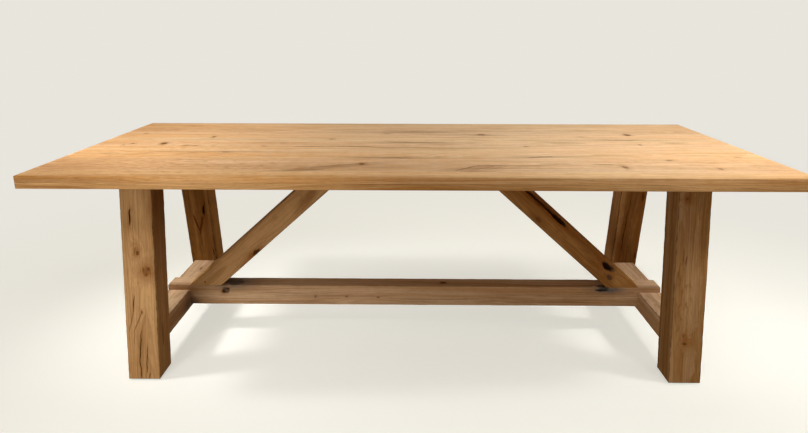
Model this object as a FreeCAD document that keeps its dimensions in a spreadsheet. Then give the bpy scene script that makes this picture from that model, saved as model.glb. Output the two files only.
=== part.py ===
import FreeCAD, Part
import math
import os
import re
import Sketcher

# Trestle dining table in solid oak: a glued board top on two A-shaped trestles, tied together by
# one low stretcher and two slanting braces. Millimetres, +X along the table, +Y towards the back,
# +Z up, origin on the floor under the middle of the top.

SIZES = {
    # top
    "tableHeight": 750,
    "topLength": 2400,
    "boardThickness": 20,
    "boardWidth1": 80,
    "boardWidth2": 210,
    "boardWidth3": 217,
    "boardWidth4": 98,
    "boardWidth5": 165,
    "boardWidth6": 165,
    "boardWidth7": 165,
    "topArris": 1.5,
    "stripThickness": 20,
    "stripWidth": 80,
    "tongueThickness": 6,
    "tongueWidth": 20,
    "tongueStop": 40,
    # members under the top
    "bearerThickness": 42,
    "bearerWidth": 100,
    "bearerOverhang": 119,
    "bearerBevelLength": 70,
    "bearerBevelHeight": 16,
    "battenWidth": 150,
    "battenLength": 860,
    # trestles
    "endOverhang": 268,
    "legSection": 112,
    "legSplay": 8.8,
    "footSpread": 874,
    "legArris": 3,
    "legTenonThickness": 36,
    "legTenonWidth": 60,
    "legTenonLength": 34,
    "railWidth": 90,
    "railHeight": 74,
    "railBottom": 100,
    "railArris": 3,
    "railTenonThickness": 36,
    "railTenonHeight": 46,
    "railTenonLength": 60,
    "glideSide": 80,
    "glideThickness": 4,
    # stretcher and braces
    "stretcherWidth": 85,
    "stretcherHeight": 82,
    "stretcherRise": 21,
    "stretcherArris": 2,
    "lapHousing": 26,
    "lapSetback": 5,
    "braceDepth": 86,
    "braceAngle": 41.7,
    "braceHeelSetback": 2,
    "stubThickness": 28,
    "stubLength": 50,
    "stubHeight": 25,
    "stubInset": 22,
    # fits
    "fitGap": 0.2,
    "mortiseRelief": 1,
    "screwGap": 0.1,
    "clearanceGap": 0.5,
    # screws that hold the top
    "topScrewDiameter": 6,
    "topScrewLength": 55,
    "topScrewHeadWidth": 10,
    "topScrewHeadHeight": 4,
    "bearerScrewOffset": 9,
    "battenScrewInset": 90,
    "battenScrewMiddle": 110,
    "slotTravel": 8,
    # coach screws
    "coachDiameter": 8,
    "coachLength": 65,
    "coachHeadWidth": 13,
    "coachHeadHeight": 5.5,
    "coachWasherDiameter": 22,
    "coachWasherThickness": 2,
    "counterboreDiameter": 26,
    "lapBoreDepth": 20,
    "footBoreDepth": 45,
    "footScrewOffset": 96,
    "headGrip": 30,
    "headScrewOffset": 80,
}

BOARD_COUNT = 7
HEAD_SIDES = 6
HALF_TURN = 180

# Places and sizes that follow from the sheet.
DERIVED = {
    "topWidth": " + ".join(f"boardWidth{index}" for index in range(1, BOARD_COUNT + 1)),
    "topUnderside": "tableHeight - boardThickness",
    "bearerUnderside": "topUnderside - bearerThickness",
    "grooveDepth": "tongueWidth / 2 + fitGap",
    "grooveHalf": "tongueThickness / 2 + screwGap",
    "boardMiddle": "boardThickness / 2",
    "trestleOffset": "topLength / 2 - endOverhang",
    "legReach": "legSection / cos(legSplay)",
    "legHeight": "bearerUnderside - glideThickness",
    "legHeadOuter": "footSpread / 2 - legHeight * tan(legSplay)",
    "legHeadMiddle": "legHeadOuter - legReach / 2",
    "bearerHalf": "legHeadOuter + bearerOverhang",
    "railTop": "railBottom + railHeight",
    "railMiddle": "railBottom + railHeight / 2",
    "railReachBottom": "footSpread / 2 - legReach - (railBottom - glideThickness) * tan(legSplay)",
    "railReachTop": "footSpread / 2 - legReach - (railTop - glideThickness) * tan(legSplay)",
    "railReachMiddle": "footSpread / 2 - legReach - (railMiddle - glideThickness) * tan(legSplay)",
    "housingFloor": "railTop - lapHousing",
    "stretcherTop": "railTop + stretcherRise",
    "stretcherBottom": "stretcherTop - stretcherHeight",
    "shoulderX": "trestleOffset - railWidth / 2",
    "lapEndX": "trestleOffset + railWidth / 2 - lapSetback",
    "braceHeelX": "shoulderX - braceHeelSetback",
    "braceFoot": "braceDepth / sin(braceAngle)",
    "braceRun": "(bearerUnderside - stretcherTop) / tan(braceAngle)",
    "braceHeadOuterX": "braceHeelX - braceRun",
    "braceHeadInnerX": "braceHeadOuterX - braceFoot",
    "battenX": "braceHeadOuterX - braceFoot / 2",
    "bearerScrewY": "legHeadOuter + bearerScrewOffset",
    "battenScrewY": "battenLength / 2 - battenScrewInset",
    "topScrewBite": "topScrewLength - bearerThickness",
    "coachReach": "coachLength - coachWasherThickness + mortiseRelief",
    "lapSeat": "railBottom + lapBoreDepth",
    "footSeat": "stretcherBottom + footBoreDepth",
    "headSeat": "bearerUnderside - headGrip",
    "footScrewX": "braceHeelX - footScrewOffset",
    "headScrewX": "braceHeadInnerX + headScrewOffset",
}

doc = FreeCAD.newDocument("TrestleTable")
sheet = doc.addObject("Spreadsheet::Sheet", "Sizes")
for row, (alias, value) in enumerate(SIZES.items(), start=1):
    sheet.set(f"A{row}", alias)
    sheet.set(f"B{row}", str(value))
    sheet.setAlias(f"B{row}", alias)
doc.recompute()


def formula(text):
    """Spells a size formula out in cells of the sheet."""

    def spell(match):
        word = match[0]
        if word in DERIVED:
            return "(" + formula(DERIVED[word]) + ")"
        return "Sizes." + word if word in SIZES else word

    return re.sub(r"[A-Za-z_]\w*", spell, text)


def number(text):
    """The value of a size formula now."""
    return float(sheet.evalExpression(formula(text)))


# Sketches and features


def make_body(label, x="0", y="0", z="0", turn=0):
    """An empty body at its place, turned about the vertical by so many degrees."""
    body = doc.addObject("PartDesign::Body", label)
    body.Label = label
    body.Placement = FreeCAD.Placement(FreeCAD.Vector(), FreeCAD.Rotation(FreeCAD.Vector(0, 0, 1), turn))
    for axis, place in (("x", x), ("y", y), ("z", z)):
        body.setExpression(f"Placement.Base.{axis}", formula(place))
    return body


def add_sketch(body, role, offset="0"):
    """A sketch on one of the body's own origin planes, moved along the plane's normal."""
    plane = next(item for item in body.Origin.OriginFeatures if item.Role == role)
    sketch = body.newObject("Sketcher::SketchObject", "Sketch")
    sketch.AttachmentSupport = (plane, [""])
    sketch.MapMode = "FlatFace"
    sketch.setExpression("AttachmentOffset.Base.z", formula(offset))
    return sketch


def bind(sketch, kind, element, text):
    """A dimension of the sketch, bound to a size formula."""
    index = sketch.addConstraint(Sketcher.Constraint(kind, *element, number(text)))
    sketch.setExpression(f"Constraints[{index}]", formula(text))


def pin_point(sketch, edge, point, x, y):
    """Fixes one point of an edge against the sketch's origin."""
    bind(sketch, "DistanceX", (-1, 1, edge, point), x)
    bind(sketch, "DistanceY", (-1, 1, edge, point), y)


def draw_outline(sketch, corners):
    """A closed outline of straight edges through corners given as size formulas."""
    first = len(sketch.Geometry)
    count = len(corners)
    points = [FreeCAD.Vector(number(x), number(y), 0) for x, y in corners]
    for index in range(count):
        sketch.addGeometry(Part.LineSegment(points[index], points[(index + 1) % count]), False)
    for index in range(count):
        following = first + (index + 1) % count
        sketch.addConstraint(Sketcher.Constraint("Coincident", first + index, 2, following, 1))
    for index, (x, y) in enumerate(corners):
        pin_point(sketch, first + index, 1, x, y)


def draw_block(sketch, x_low, x_high, y_low, y_high):
    """A rectangle given by its sides."""
    draw_outline(sketch, [(x_low, y_low), (x_high, y_low), (x_high, y_high), (x_low, y_high)])


def draw_circle(sketch, x, y, radius):
    """A circle given by its centre and radius."""
    centre = FreeCAD.Vector(number(x), number(y), 0)
    edge = sketch.addGeometry(Part.Circle(centre, FreeCAD.Vector(0, 0, 1), number(radius)), False)
    pin_point(sketch, edge, 3, x, y)
    bind(sketch, "Radius", (edge,), radius)


def draw_slot(sketch, x, y, radius, travel):
    """A slot along the sketch's second axis: two half circles whose centres lie travel apart."""
    reach = number(travel) / 2
    size = number(radius)
    up = FreeCAD.Vector(0, 0, 1)
    middle = FreeCAD.Vector(number(x), number(y), 0)
    shift = FreeCAD.Vector(0, reach, 0)
    side = FreeCAD.Vector(size, 0, 0)
    far = Part.ArcOfCircle(Part.Circle(middle + shift, up, size), 0, math.pi)
    near = Part.ArcOfCircle(Part.Circle(middle - shift, up, size), math.pi, 2 * math.pi)
    left = Part.LineSegment(middle + shift - side, middle - shift - side)
    right = Part.LineSegment(middle - shift + side, middle + shift + side)
    edges = [sketch.addGeometry(item, False) for item in (far, left, near, right)]
    for index in range(4):
        following = edges[(index + 1) % 4]
        sketch.addConstraint(Sketcher.Constraint("Tangent", edges[index], 2, following, 1))
    sketch.addConstraint(Sketcher.Constraint("Equal", edges[0], edges[2]))
    pin_point(sketch, edges[0], 3, x, f"{y} + ({travel}) / 2")
    pin_point(sketch, edges[2], 3, x, f"{y} - ({travel}) / 2")
    bind(sketch, "Radius", (edges[0],), radius)


def pad(body, sketch, length, symmetric=False, backwards=False):
    """Adds the sketched section along its normal."""
    feature = body.newObject("PartDesign::Pad", "Pad")
    feature.Profile = sketch
    feature.SideType = "Symmetric" if symmetric else "One side"
    feature.Reversed = backwards
    feature.setExpression("Length", formula(length))
    doc.recompute()
    return feature


def pocket(body, sketch, length, symmetric=False, along_normal=False):
    """Cuts the sketched section out, against the normal unless told otherwise."""
    before = body.Shape.Volume
    feature = body.newObject("PartDesign::Pocket", "Pocket")
    feature.Profile = sketch
    feature.SideType = "Symmetric" if symmetric else "One side"
    feature.Reversed = along_normal
    feature.setExpression("Length", formula(length))
    doc.recompute()
    if body.Shape.Volume >= before:
        raise RuntimeError(f"a pocket of {body.Label} cuts nothing")
    return feature


def ease(body, feature, size, wanted):
    """Breaks the arrises that the test picks, with a small flat of the given size."""
    names = [f"Edge{place}" for place, edge in enumerate(feature.Shape.Edges, start=1) if wanted(edge)]
    chamfer = body.newObject("PartDesign::Chamfer", "Arris")
    chamfer.Base = (feature, names)
    chamfer.setExpression("Size", formula(size))
    doc.recompute()
    return chamfer


def runs_along(edge, axis):
    """True for an edge whose longest extent is along the axis, 0 to 2 for X to Z."""
    box = edge.BoundBox
    extents = (box.XLength, box.YLength, box.ZLength)
    return extents[axis] == max(extents)


def lies_at(edge, axis, place):
    """True for an edge that lies wholly in the plane across the axis at the place."""
    box = edge.BoundBox
    low = (box.XMin, box.YMin, box.ZMin)[axis]
    high = (box.XMax, box.YMax, box.ZMax)[axis]
    tolerance = 0.001
    return abs(low - place) < tolerance and abs(high - place) < tolerance


def bearer_rows():
    """Y places of the screws along a bearer: its middle and just outside the leg heads."""
    return ["0 - bearerScrewY", "0", "bearerScrewY"]


def batten_rows():
    """Y places of the screws along a batten, whose middle the brace takes."""
    return ["0 - battenScrewY", "0 - battenScrewMiddle", "battenScrewMiddle", "battenScrewY"]


def top_screw_places():
    """X and Y of every screw that holds the top."""
    places = []
    for side in (-1, 1):
        places += [(f"{side} * trestleOffset", row) for row in bearer_rows()]
        places += [(f"{side} * battenX", row) for row in batten_rows()]
    return places


# Top


def make_board(index):
    """One full-length board, its origin at the middle of its lower front edge."""
    width = f"boardWidth{index}"
    before = [f"boardWidth{earlier}" for earlier in range(1, index)]
    front = " + ".join(["0 - topWidth / 2"] + before)
    board = make_body(f"top_board_{index}", y=front, z="topUnderside")
    section = add_sketch(board, "YZ_Plane")
    draw_block(section, "0", width, "0", "boardThickness")
    plank = pad(board, section, "topLength", symmetric=True)

    first = index == 1
    last = index == BOARD_COUNT
    end = number("topLength / 2")
    face = number("boardThickness")
    back = number(width)

    def is_worn(edge):
        at_end = lies_at(edge, 0, end) or lies_at(edge, 0, -end)
        outer = (first and lies_at(edge, 1, 0)) or (last and lies_at(edge, 1, back))
        upper = lies_at(edge, 2, face)
        return (upper and (at_end or outer)) or (outer and runs_along(edge, 2))

    ease(board, plank, "topArris", is_worn)
    grooves = add_sketch(board, "YZ_Plane")
    low = "boardMiddle - grooveHalf"
    high = "boardMiddle + grooveHalf"
    if not first:
        draw_block(grooves, "0", "grooveDepth", low, high)
    if not last:
        draw_block(grooves, f"{width} - grooveDepth", width, low, high)
    pocket(board, grooves, "topLength - 2 * (tongueStop - fitGap)", symmetric=True)

    reach = number("topScrewDiameter / 2 + screwGap")
    start = number(front)
    places = [(x, y) for x, y in top_screw_places() if start - reach < number(y) < start + back + reach]
    if places:
        pilots = add_sketch(board, "XY_Plane")
        for x, y in places:
            draw_circle(pilots, x, f"{y} - ({front})", "topScrewDiameter / 2 + screwGap")
        pocket(board, pilots, "topScrewBite + mortiseRelief", along_normal=True)
    return board


def make_tongues():
    """The loose tongues glued into the grooves between neighbouring boards."""
    tongues = []
    for index in range(1, BOARD_COUNT):
        before = [f"boardWidth{earlier}" for earlier in range(1, index + 1)]
        seam = " + ".join(["0 - topWidth / 2"] + before)
        tongue = doc.addObject("Part::Box", f"Tongue{index}")
        tongue.setExpression("Length", formula("topLength - 2 * tongueStop"))
        tongue.setExpression("Width", formula("tongueWidth"))
        tongue.setExpression("Height", formula("tongueThickness"))
        tongue.setExpression("Placement.Base.x", formula("tongueStop - topLength / 2"))
        tongue.setExpression("Placement.Base.y", formula(f"{seam} - tongueWidth / 2"))
        low = "topUnderside + boardMiddle - tongueThickness / 2"
        tongue.setExpression("Placement.Base.z", formula(low))
        tongues.append(tongue)
    return join_group("board_tongues", tongues)


def make_long_strip(label, turn):
    """A doubling strip under the front or back rim; turned half round for the back."""
    strip = make_body(label, z="topUnderside - stripThickness", turn=turn)
    section = add_sketch(strip, "YZ_Plane")
    draw_block(section, "0 - topWidth / 2", "stripWidth - topWidth / 2", "0", "stripThickness")
    plank = pad(strip, section, "topLength", symmetric=True)
    end = number("topLength / 2")
    rim = number("0 - topWidth / 2")

    def is_worn(edge):
        at_end = lies_at(edge, 0, end) or lies_at(edge, 0, -end)
        at_rim = lies_at(edge, 1, rim)
        return (lies_at(edge, 2, 0) and (at_end or at_rim)) or (at_rim and runs_along(edge, 2))

    ease(strip, plank, "topArris", is_worn)
    return strip


def make_end_strip(label, turn):
    """A doubling strip under one end of the top, between the long strips."""
    strip = make_body(label, z="topUnderside - stripThickness", turn=turn)
    section = add_sketch(strip, "XZ_Plane")
    draw_block(section, "0 - topLength / 2", "stripWidth - topLength / 2", "0", "stripThickness")
    plank = pad(strip, section, "topWidth - 2 * stripWidth", symmetric=True)
    rim = number("0 - topLength / 2")
    ease(strip, plank, "topArris", lambda edge: lies_at(edge, 0, rim) and lies_at(edge, 2, 0))
    return strip


def cut_top_screw_slots(member, rows):
    """Slots along the member, which let the top swell and shrink across its boards."""
    slots = add_sketch(member, "XY_Plane")
    for row in rows:
        draw_slot(slots, "0", row, "topScrewDiameter / 2 + clearanceGap", "slotTravel")
    pocket(member, slots, "bearerThickness", along_normal=True)


def make_bearer(label, x):
    """The member across two leg heads, bevelled underneath towards both ends."""
    bearer = make_body(label, x=x, z="bearerUnderside")
    outline = add_sketch(bearer, "YZ_Plane")
    draw_outline(
        outline,
        [
            ("0 - bearerHalf", "bearerThickness"),
            ("0 - bearerHalf", "bearerBevelHeight"),
            ("bearerBevelLength - bearerHalf", "0"),
            ("bearerHalf - bearerBevelLength", "0"),
            ("bearerHalf", "bearerBevelHeight"),
            ("bearerHalf", "bearerThickness"),
        ],
    )
    pad(bearer, outline, "bearerWidth", symmetric=True)
    mortises = add_sketch(bearer, "XY_Plane")
    thick = "legTenonThickness / 2 + fitGap"
    wide = "legTenonWidth / 2 + fitGap"
    for side in ("0 - legHeadMiddle", "legHeadMiddle"):
        draw_block(mortises, f"0 - ({thick})", thick, f"{side} - ({wide})", f"{side} + {wide}")
    pocket(bearer, mortises, "legTenonLength + mortiseRelief", along_normal=True)
    cut_top_screw_slots(bearer, bearer_rows())
    return bearer


def make_batten(label, side):
    """The flat member that takes the head of one brace; side is -1 on the left and 1 on the right."""
    batten = make_body(label, x=f"{side} * battenX", z="bearerUnderside")
    section = add_sketch(batten, "XY_Plane")
    wide = "battenWidth / 2"
    long = "battenLength / 2"
    draw_block(section, f"0 - {wide}", wide, f"0 - {long}", long)
    pad(batten, section, "bearerThickness")
    cut_top_screw_slots(batten, batten_rows())
    pilot = add_sketch(batten, "XY_Plane")
    draw_circle(pilot, f"{side} * (headScrewX - battenX)", "0", "coachDiameter / 2 + screwGap")
    pocket(batten, pilot, "coachReach - headGrip", along_normal=True)
    return batten


# Trestles


def make_leg(label, x, turn):
    """A square leg that leans outwards to its foot; turned half round for a back leg."""
    leg = make_body(label, x=x, turn=turn)
    side = add_sketch(leg, "YZ_Plane")
    draw_outline(
        side,
        [
            ("0 - footSpread / 2", "glideThickness"),
            ("legReach - footSpread / 2", "glideThickness"),
            ("legReach - legHeadOuter", "bearerUnderside"),
            ("0 - legHeadOuter", "bearerUnderside"),
        ],
    )
    post = pad(leg, side, "legSection", symmetric=True)
    sole = number("glideThickness")
    ease(leg, post, "legArris", lambda edge: runs_along(edge, 2) or lies_at(edge, 2, sole))

    tenon = add_sketch(leg, "XY_Plane", "bearerUnderside")
    thick = "legTenonThickness / 2"
    wide = "legTenonWidth / 2"
    draw_block(tenon, f"0 - {thick}", thick, f"0 - legHeadMiddle - {wide}", f"{wide} - legHeadMiddle")
    pad(leg, tenon, "legTenonLength")

    mortise = add_sketch(leg, "XZ_Plane")
    cheek = "railTenonThickness / 2 + fitGap"
    rise = "railTenonHeight / 2 + fitGap"
    draw_block(mortise, f"0 - ({cheek})", cheek, f"railMiddle - ({rise})", f"railMiddle + {rise}")
    pocket(leg, mortise, "railReachMiddle + railTenonLength + mortiseRelief", along_normal=True)
    return leg


def make_low_rail(label, x):
    """The rail between two legs near the floor, with a housing across its top for the stretcher."""
    rail = make_body(label, x=x)
    side = add_sketch(rail, "YZ_Plane")
    draw_outline(
        side,
        [
            ("0 - railReachBottom", "railBottom"),
            ("railReachBottom", "railBottom"),
            ("railReachTop", "railTop"),
            ("0 - railReachTop", "railTop"),
        ],
    )
    beam = pad(rail, side, "railWidth", symmetric=True)
    ease(rail, beam, "railArris", lambda edge: runs_along(edge, 1))

    tenons = add_sketch(rail, "XZ_Plane")
    cheek = "railTenonThickness / 2"
    rise = "railTenonHeight / 2"
    draw_block(tenons, f"0 - {cheek}", cheek, f"railMiddle - {rise}", f"railMiddle + {rise}")
    pad(rail, tenons, "2 * (railReachMiddle + railTenonLength)", symmetric=True)

    housing = add_sketch(rail, "YZ_Plane")
    half = "stretcherWidth / 2 + fitGap"
    draw_block(housing, f"0 - ({half})", half, "housingFloor", "stretcherTop")
    pocket(rail, housing, "2 * railWidth", symmetric=True)

    clearance = add_sketch(rail, "XY_Plane", "housingFloor")
    draw_circle(clearance, "0", "0", "coachDiameter / 2 + clearanceGap")
    pocket(rail, clearance, "housingFloor - railBottom")
    bore = add_sketch(rail, "XY_Plane", "lapSeat")
    draw_circle(bore, "0", "0", "counterboreDiameter / 2")
    pocket(rail, bore, "lapBoreDepth")
    return rail


def make_glide(label, x, side):
    """A square felt pad under one foot, on the middle of the leg's sole."""
    glide = make_body(label, x=x, y=f"{side} * (footSpread / 2 - legReach / 2)")
    square = add_sketch(glide, "XY_Plane")
    half = "glideSide / 2"
    draw_block(square, f"0 - {half}", half, f"0 - {half}", half)
    pad(glide, square, "glideThickness")
    return glide


# Stretcher and braces


def make_stretcher():
    """The long low beam, cut back underneath at both ends to lap over the rails."""
    stretcher = make_body("stretcher")
    side = add_sketch(stretcher, "XZ_Plane")
    draw_outline(
        side,
        [
            ("0 - shoulderX", "stretcherBottom"),
            ("shoulderX", "stretcherBottom"),
            ("shoulderX", "housingFloor"),
            ("lapEndX", "housingFloor"),
            ("lapEndX", "stretcherTop"),
            ("0 - lapEndX", "stretcherTop"),
            ("0 - lapEndX", "housingFloor"),
            ("0 - shoulderX", "housingFloor"),
        ],
    )
    beam = pad(stretcher, side, "stretcherWidth", symmetric=True)
    top = number("stretcherTop")
    bottom = number("stretcherBottom")
    end = number("lapEndX")

    def is_worn(edge):
        long_arris = runs_along(edge, 0) and (lies_at(edge, 2, top) or lies_at(edge, 2, bottom))
        end_arris = lies_at(edge, 2, top) and (lies_at(edge, 0, end) or lies_at(edge, 0, -end))
        return long_arris or end_arris

    ease(stretcher, beam, "stretcherArris", is_worn)

    mortises = add_sketch(stretcher, "XY_Plane", "stretcherTop")
    half = "stubThickness / 2 + fitGap"
    near = "braceHeelX - stubInset + fitGap"
    far = "braceHeelX - stubInset - stubLength - fitGap"
    draw_block(mortises, far, near, f"0 - ({half})", half)
    draw_block(mortises, f"0 - ({near})", f"0 - ({far})", f"0 - ({half})", half)
    pocket(stretcher, mortises, "stubHeight + mortiseRelief")

    clearance = add_sketch(stretcher, "XY_Plane", "stretcherTop")
    bores = add_sketch(stretcher, "XY_Plane", "footSeat")
    pilots = add_sketch(stretcher, "XY_Plane", "housingFloor")
    for side_sign in (-1, 1):
        draw_circle(clearance, f"{side_sign} * footScrewX", "0", "coachDiameter / 2 + clearanceGap")
        draw_circle(bores, f"{side_sign} * footScrewX", "0", "counterboreDiameter / 2")
        draw_circle(pilots, f"{side_sign} * trestleOffset", "0", "coachDiameter / 2 + screwGap")
    pocket(stretcher, clearance, "stretcherHeight")
    pocket(stretcher, bores, "footBoreDepth")
    pocket(stretcher, pilots, "coachReach - (housingFloor - lapSeat)", along_normal=True)
    return stretcher


def make_brace(label, turn):
    """A slanting brace from the stretcher up to its batten; turned half round for the right one."""
    brace = make_body(label, turn=turn)
    side = add_sketch(brace, "XZ_Plane")
    draw_outline(
        side,
        [
            ("0 - braceHeelX", "stretcherTop"),
            ("braceFoot - braceHeelX", "stretcherTop"),
            ("0 - braceHeadInnerX", "bearerUnderside"),
            ("0 - braceHeadOuterX", "bearerUnderside"),
        ],
    )
    beam = pad(brace, side, "stretcherWidth", symmetric=True)
    foot = number("stretcherTop")
    head = number("bearerUnderside")

    def is_long(edge):
        level = lies_at(edge, 2, foot) or lies_at(edge, 2, head)
        return not level and not runs_along(edge, 1)

    ease(brace, beam, "stretcherArris", is_long)

    stub = add_sketch(brace, "XY_Plane", "stretcherTop")
    half = "stubThickness / 2"
    near = "stubInset - braceHeelX"
    draw_block(stub, near, f"{near} + stubLength", f"0 - {half}", half)
    pad(brace, stub, "stubHeight", backwards=True)

    pilot = add_sketch(brace, "XY_Plane", "stretcherTop")
    draw_circle(pilot, "0 - footScrewX", "0", "coachDiameter / 2 + screwGap")
    pocket(brace, pilot, "coachReach - (stretcherTop - footSeat)", along_normal=True)

    clearance = add_sketch(brace, "XY_Plane", "headSeat")
    draw_circle(clearance, "0 - headScrewX", "0", "coachDiameter / 2 + clearanceGap")
    pocket(brace, clearance, "headGrip", along_normal=True)
    bore = add_sketch(brace, "XY_Plane", "headSeat")
    draw_circle(bore, "0 - headScrewX", "0", "counterboreDiameter / 2")
    pocket(brace, bore, "braceDepth")
    return brace


# Fasteners


def join_group(label, members):
    """One node that holds several separate solids of the same kind."""
    group = doc.addObject("Part::Compound", label)
    group.Label = label
    group.Links = members
    doc.recompute()
    return group


def make_round(name, radius, length, x, y, z):
    """An upright cylinder whose lower face is centred on the given place."""
    rod = doc.addObject("Part::Cylinder", name)
    rod.setExpression("Radius", formula(radius))
    rod.setExpression("Height", formula(length))
    for axis, place in (("x", x), ("y", y), ("z", z)):
        rod.setExpression(f"Placement.Base.{axis}", formula(place))
    return rod


def make_hex_screw(name, size, x, y, seat):
    """An upright screw, its hexagon head hanging below the seat; size names its values in the sheet."""
    shank = make_round(f"{name}Shank", f"{size}Diameter / 2", f"{size}Length", x, y, seat)
    head = doc.addObject("Part::Prism", f"{name}Head")
    head.Polygon = HEAD_SIDES
    head.setExpression("Circumradius", formula(f"{size}HeadWidth / 2 / cos({HALF_TURN / HEAD_SIDES})"))
    head.setExpression("Height", formula(f"{size}HeadHeight"))
    for axis, place in (("x", x), ("y", y), ("z", f"{seat} - {size}HeadHeight")):
        head.setExpression(f"Placement.Base.{axis}", formula(place))
    screw = doc.addObject("Part::MultiFuse", name)
    screw.Shapes = [shank, head]
    return screw


def make_top_screws():
    """Screws up through the slots of the bearers and battens into the boards."""
    screws = []
    for index, (x, y) in enumerate(top_screw_places()):
        screws.append(make_hex_screw(f"TopScrew{index}", "topScrew", x, y, "bearerUnderside"))
    return join_group("top_screws", screws)


def coach_places():
    """Where the coach screws stand, and the height of the wood that their washers bear on."""
    places = []
    for side in (-1, 1):
        places.append((f"{side} * trestleOffset", "lapSeat"))
        places.append((f"{side} * footScrewX", "footSeat"))
        places.append((f"{side} * headScrewX", "headSeat"))
    return places


def make_coach_screws():
    """Screws up into the stretcher's laps, the brace feet and the battens."""
    screws = []
    for index, (x, seat) in enumerate(coach_places()):
        screws.append(make_hex_screw(f"Coach{index}", "coach", x, "0", f"{seat} - coachWasherThickness"))
    return join_group("coach_screws", screws)


def make_coach_washers():
    """A flat washer under each coach screw's head."""
    washers = []
    rim = "coachWasherDiameter / 2"
    bore = "coachDiameter / 2 + screwGap"
    for index, (x, seat) in enumerate(coach_places()):
        low = f"{seat} - coachWasherThickness"
        disc = make_round(f"WasherDisc{index}", rim, "coachWasherThickness", x, "0", low)
        hole = make_round(f"WasherHole{index}", bore, "coachWasherThickness", x, "0", low)
        washer = doc.addObject("Part::Cut", f"Washer{index}")
        washer.Base = disc
        washer.Tool = hole
        washers.append(washer)
    return join_group("coach_washers", washers)


# Assembly

parts = [make_board(index) for index in range(1, BOARD_COUNT + 1)]
parts.append(make_tongues())
parts.append(make_long_strip("edge_strip_front", 0))
parts.append(make_long_strip("edge_strip_back", HALF_TURN))
parts.append(make_end_strip("edge_strip_left", 0))
parts.append(make_end_strip("edge_strip_right", HALF_TURN))
for hand, sign in (("left", -1), ("right", 1)):
    trestle = f"{sign} * trestleOffset"
    parts.append(make_bearer(f"bearer_{hand}", trestle))
    parts.append(make_batten(f"batten_{hand}", sign))
    parts.append(make_leg(f"leg_front_{hand}", trestle, 0))
    parts.append(make_leg(f"leg_back_{hand}", trestle, HALF_TURN))
    parts.append(make_low_rail(f"low_rail_{hand}", trestle))
    parts.append(make_glide(f"floor_glide_front_{hand}", trestle, -1))
    parts.append(make_glide(f"floor_glide_back_{hand}", trestle, 1))
parts.append(make_stretcher())
parts.append(make_brace("brace_left", 0))
parts.append(make_brace("brace_right", HALF_TURN))
parts.append(make_top_screws())
parts.append(make_coach_screws())
parts.append(make_coach_washers())
doc.recompute()

for item in doc.Objects:
    if "Invalid" in item.State or "Error" in item.State:
        raise RuntimeError(f"{item.Label} failed: {item.State}")
for part in parts:
    if part.Shape.isNull() or not part.Shape.isValid() or not part.Shape.Solids:
        raise RuntimeError(f"{part.Label} has no sound shape")

os.makedirs("parts", exist_ok=True)
for part in parts:
    part.Shape.exportStep(f"parts/{part.Label}.step")
    box = part.Shape.BoundBox
    extents = f"{box.XLength:.1f} x {box.YLength:.1f} x {box.ZLength:.1f}"
    print(f"{part.Label}: {len(part.Shape.Solids)} solid(s), {extents}")
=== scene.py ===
import math

import bmesh
import bpy
from mathutils import Euler, Matrix, Vector


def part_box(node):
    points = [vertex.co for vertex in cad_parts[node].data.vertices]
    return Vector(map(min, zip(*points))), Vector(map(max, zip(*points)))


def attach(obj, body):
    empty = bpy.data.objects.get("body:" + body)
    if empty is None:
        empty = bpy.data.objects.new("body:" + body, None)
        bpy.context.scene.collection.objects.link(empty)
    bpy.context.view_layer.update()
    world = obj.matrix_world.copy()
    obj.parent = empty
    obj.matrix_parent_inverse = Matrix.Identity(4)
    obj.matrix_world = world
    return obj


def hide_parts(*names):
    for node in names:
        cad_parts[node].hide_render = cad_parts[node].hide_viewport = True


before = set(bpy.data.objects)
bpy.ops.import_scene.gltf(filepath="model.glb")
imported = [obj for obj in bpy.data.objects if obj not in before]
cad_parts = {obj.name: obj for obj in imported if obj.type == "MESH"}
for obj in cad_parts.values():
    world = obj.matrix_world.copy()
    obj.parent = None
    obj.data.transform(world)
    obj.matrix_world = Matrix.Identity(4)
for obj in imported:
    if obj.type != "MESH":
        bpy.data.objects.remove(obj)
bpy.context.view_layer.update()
print("frame loaded:", len(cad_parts), "nodes")

mm = 0.001
smoothBelow = 32  # edges that turn less than this, in degrees, are shaded round


def screenColor(red, green, blue):
    # a colour as a screen shows it, turned into the linear colour that nodes take
    linear = [((part / 255 + 0.055) / 1.055) ** 2.4 for part in (red, green, blue)]
    return (*linear, 1.0)


def fill(tree, sockets, values):
    # links what is a socket and sets what is a plain value
    for label, value in values.items():
        if isinstance(value, bpy.types.NodeSocket):
            tree.links.new(value, sockets[label])
        else:
            sockets[label].default_value = value


def addNode(tree, kind, inputs=None, **settings):
    node = tree.nodes.new("ShaderNode" + kind)
    for setting, value in settings.items():
        setattr(node, setting, value)
    fill(tree, node.inputs, inputs or {})
    return node


def calc(tree, operation, first, second=0.0, third=0.0):
    return addNode(tree, "Math", {0: first, 1: second, 2: third}, operation=operation).outputs[0]


def times(tree, first, second):
    return calc(tree, "MULTIPLY", first, second)


def vectorCalc(tree, operation, first, second=(0.0, 0.0, 0.0)):
    node = addNode(tree, "VectorMath", {0: first, 1: second}, operation=operation)
    return node.outputs["Value" if operation == "LENGTH" else "Vector"]


def slide(tree, value, low, high):
    # 0 at low, 1 at high, smooth between
    inputs = {"Value": value, "From Min": low, "From Max": high}
    return addNode(tree, "MapRange", inputs, interpolation_type="SMOOTHSTEP").outputs[0]


def blend(tree, amount, first, second):
    return addNode(tree, "Mix", {0: amount, 6: first, 7: second}, data_type="RGBA").outputs[2]


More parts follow.
